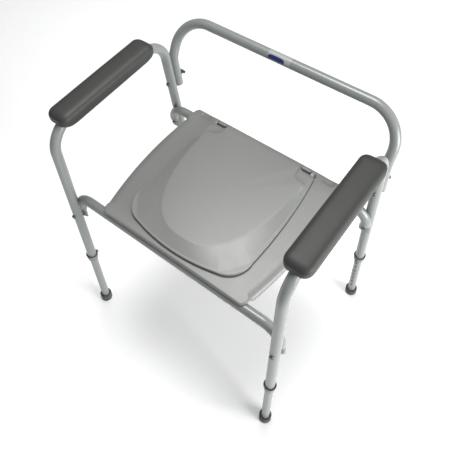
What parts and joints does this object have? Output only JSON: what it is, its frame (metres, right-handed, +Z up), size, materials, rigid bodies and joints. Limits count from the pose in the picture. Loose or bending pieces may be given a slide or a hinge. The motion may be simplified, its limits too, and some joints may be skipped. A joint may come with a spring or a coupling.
{
  "type": "commode chair",
  "caption": "Wide steel-tube commode chair with padded arms, hinged seat and lid, slide-out pail, back bar and height-adjustable legs.",
  "frame": {"origin": "on the floor under the centre of the chair's bounding box", "axes": "+Z up, front of the chair at -Y, back at +Y, +X to the right seen from the front"},
  "size_m": [0.684, 0.5507, 0.786],
  "materials": {
    "powder_coat": "smooth satin powder coat",
    "pad_plastic": "fine-grained moulded plastic",
    "collar_plastic": "moulded, satin",
    "button_plastic": "moulded, satin",
    "plug_plastic": "moulded, matte",
    "rubber": "matte",
    "seat_plastic": "moulded, semi-gloss",
    "pail_plastic": "moulded, semi-gloss",
    "zinc_plate": "bright zinc plate",
    "rail_steel": "smooth satin powder coat",
    "label_film": "printed film"
  },
  "bodies": {
    "frame": {"side_frame_left": "powder_coat", "side_frame_right": "powder_coat", "arm_pad_left": "pad_plastic", "arm_pad_right": "pad_plastic", "arm_pad_screws": "zinc_plate", "back_bar": "powder_coat", "back_bar_bolts": "zinc_plate", "back_bar_plugs": "plug_plastic", "front_crossbar": "powder_coat", "front_crossbar_bolts": "zinc_plate", "front_crossbar_nuts": "zinc_plate", "rear_crossbar": "powder_coat", "rear_crossbar_bolts": "zinc_plate", "rear_crossbar_nuts": "zinc_plate", "pail_rail_left": "rail_steel", "pail_rail_right": "rail_steel", "rail_rivets": "zinc_plate", "label": "label_film", "leg_collar_front_left": "collar_plastic", "leg_collar_rear_left": "collar_plastic", "leg_collar_front_right": "collar_plastic", "leg_collar_rear_right": "collar_plastic"},
    "seat": {"seat": "seat_plastic", "seat_clip_left": "seat_plastic", "seat_clip_right": "seat_plastic", "seat_bumpers": "rubber", "hinge_lugs": "seat_plastic"},
    "lid": {"lid": "seat_plastic", "hinge_pins": "zinc_plate", "lid_bumpers": "rubber"},
    "pail": {"pail": "pail_plastic"},
    "pail_handle": {"pail_handle": "zinc_plate"},
    "leg_front_left": {"leg_extension_front_left": "powder_coat", "rubber_tip_front_left": "rubber"},
    "lock_button_front_left": {"lock_button_front_left": "button_plastic"},
    "leg_rear_left": {"leg_extension_rear_left": "powder_coat", "rubber_tip_rear_left": "rubber"},
    "lock_button_rear_left": {"lock_button_rear_left": "button_plastic"},
    "leg_front_right": {"leg_extension_front_right": "powder_coat", "rubber_tip_front_right": "rubber"},
    "lock_button_front_right": {"lock_button_front_right": "button_plastic"},
    "leg_rear_right": {"leg_extension_rear_right": "powder_coat", "rubber_tip_rear_right": "rubber"},
    "lock_button_rear_right": {"lock_button_rear_right": "button_plastic"},
    "wing_nut_left": {"wing_nut_left": "zinc_plate"},
    "wing_nut_right": {"wing_nut_right": "zinc_plate"}
  },
  "joints": [
    {"name": "seat_hinge", "type": "hinge", "parent": "frame", "child": "seat", "pos_m": [0, 0.17019, 0.516], "axis": [-1, 0, 0], "range_deg": [0, 97]},
    {"name": "lid_hinge", "type": "hinge", "parent": "seat", "child": "lid", "pos_m": [0, 0.176, 0.544], "axis": [1, 0, 0], "range_deg": [-104, 0]},
    {"name": "pail_slide", "type": "slide", "parent": "frame", "child": "pail", "axis": [0, 1, 0], "range_m": [0, 0.4]},
    {"name": "pail_handle_hinge", "type": "hinge", "parent": "pail", "child": "pail_handle", "pos_m": [0, -0.018, 0.47], "axis": [-1, 0, 0], "range_deg": [0, 16]},
    {"name": "leg_slide_front_left", "type": "slide", "parent": "frame", "child": "leg_front_left", "axis": [0, -0.0778, -0.997], "range_m": [-0.1016, 0.0508]},
    {"name": "lock_button_front_left_press", "type": "slide", "parent": "frame", "child": "lock_button_front_left", "axis": [0, -0.997, 0.0778], "range_m": [0, 0.0025]},
    {"name": "leg_slide_rear_left", "type": "slide", "parent": "frame", "child": "leg_rear_left", "axis": [0, 0.0549, -0.9985], "range_m": [-0.1016, 0.0508]},
    {"name": "lock_button_rear_left_press", "type": "slide", "parent": "frame", "child": "lock_button_rear_left", "axis": [0, 0.9985, 0.0549], "range_m": [0, 0.0025]},
    {"name": "leg_slide_front_right", "type": "slide", "parent": "frame", "child": "leg_front_right", "axis": [0, -0.0778, -0.997], "range_m": [-0.1016, 0.0508]},
    {"name": "lock_button_front_right_press", "type": "slide", "parent": "frame", "child": "lock_button_front_right", "axis": [0, -0.997, 0.0778], "range_m": [0, 0.0025]},
    {"name": "leg_slide_rear_right", "type": "slide", "parent": "frame", "child": "leg_rear_right", "axis": [0, 0.0549, -0.9985], "range_m": [-0.1016, 0.0508]},
    {"name": "lock_button_rear_right_press", "type": "slide", "parent": "frame", "child": "lock_button_rear_right", "axis": [0, 0.9985, 0.0549], "range_m": [0, 0.0025]},
    {"name": "wing_nut_left_turn", "type": "hinge", "parent": "frame", "child": "wing_nut_left", "pos_m": [-0.311, 0.18371, 0.598], "axis": [0, 0.9985, 0.0549], "continuous": true},
    {"name": "wing_nut_right_turn", "type": "hinge", "parent": "frame", "child": "wing_nut_right", "pos_m": [0.311, 0.18371, 0.598], "axis": [0, 0.9985, 0.0549], "continuous": true}
  ]
}
